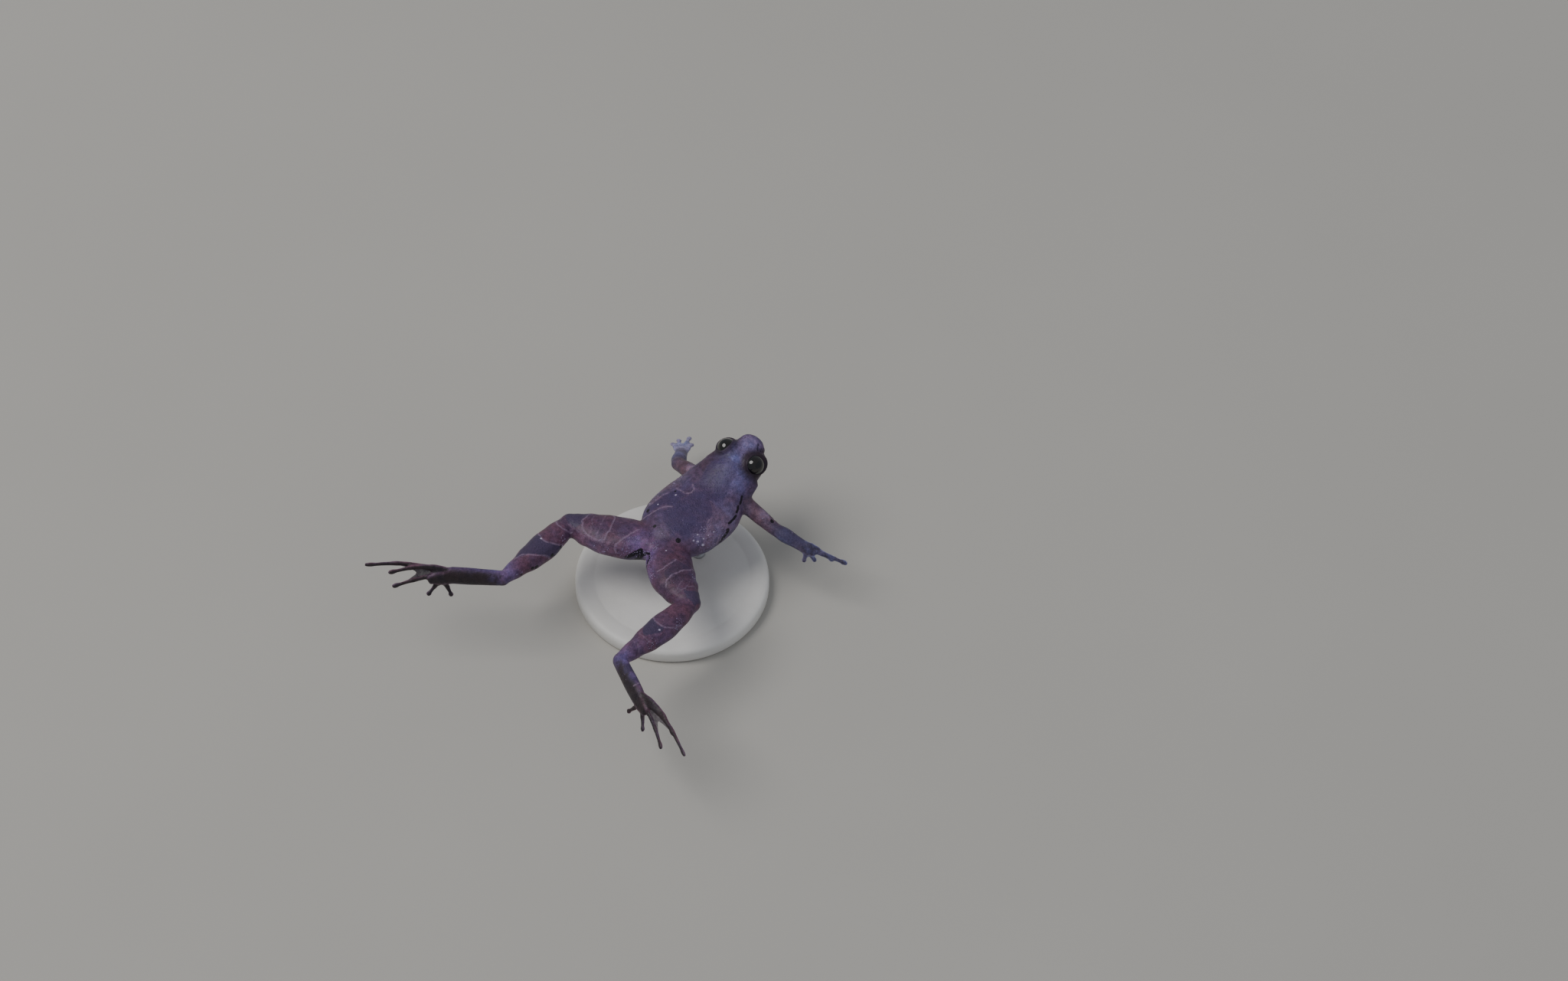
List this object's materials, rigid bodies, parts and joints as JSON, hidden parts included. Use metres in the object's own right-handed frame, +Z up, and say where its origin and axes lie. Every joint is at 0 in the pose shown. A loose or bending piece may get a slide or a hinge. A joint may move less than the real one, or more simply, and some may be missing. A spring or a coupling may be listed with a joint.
{
  "type": "small frog model",
  "caption": "Still, life-size model of a tiny narrow-mouthed frog swimming with legs spread wide, held by the belly on a round base with short rods.",
  "frame": {"origin": "centre of the underside of the stand's round base", "axes": "+Y towards the snout, +X towards the animal's right side, +Z up through the stand"},
  "size_m": [0.0473, 0.0451, 0.015],
  "materials": {
    "skin": "wet satin skin",
    "leg_skin": "wet satin skin",
    "arm_skin": "wet satin skin",
    "foot_skin": "wet satin skin",
    "eye": "gloss",
    "base": "satin",
    "rod": "satin"
  },
  "bodies": {
    "root": {"head": "skin", "torso": "skin", "eye_left": "eye", "upper_arm_left": "arm_skin", "forearm_left": "arm_skin", "hand_left": "arm_skin", "thigh_left": "leg_skin", "shank_left": "leg_skin", "tarsus_left": "leg_skin", "foot_left": "foot_skin", "eye_right": "eye", "upper_arm_right": "arm_skin", "forearm_right": "arm_skin", "hand_right": "arm_skin", "thigh_right": "leg_skin", "shank_right": "leg_skin", "tarsus_right": "leg_skin", "foot_right": "foot_skin", "stand_base": "base", "stand_rod_front": "rod", "stand_rod_rear": "rod"}
  },
  "joints": []
}
